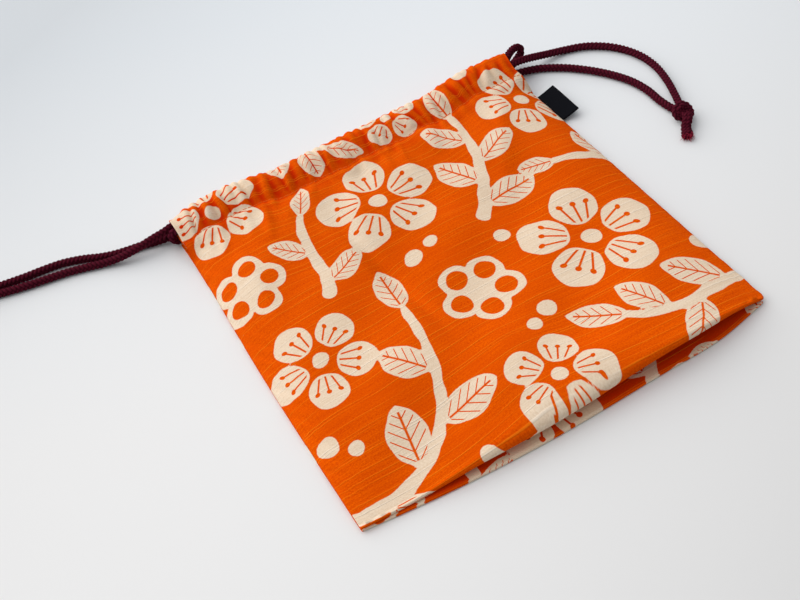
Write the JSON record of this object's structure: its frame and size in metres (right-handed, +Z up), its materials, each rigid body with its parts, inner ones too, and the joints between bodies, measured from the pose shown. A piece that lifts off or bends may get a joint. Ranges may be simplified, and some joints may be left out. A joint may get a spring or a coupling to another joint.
{
  "type": "drawstring pouch",
  "caption": "Flat-lying cotton drawstring pouch with a gathered mouth, a tucked gusset bottom, a folded side label and knotted braided drawcords.",
  "frame": {"origin": "on the table, under the middle of the back panel", "axes": "+X toward the side seam with the label, +Y toward the mouth, +Z up from the table"},
  "size_m": [0.4012, 0.2468, 0.018],
  "materials": {
    "cotton": "matte slub cotton, orange with a cream print",
    "cord": "round braided cord, dark burgundy, soft sheen",
    "label": "close woven tape, black"
  },
  "bodies": {
    "root": {"bag_body": "cotton", "left_drawcord": "cord", "right_drawcord": "cord", "left_knot": "cord", "right_knot": "cord", "side_label": "label"}
  },
  "joints": []
}
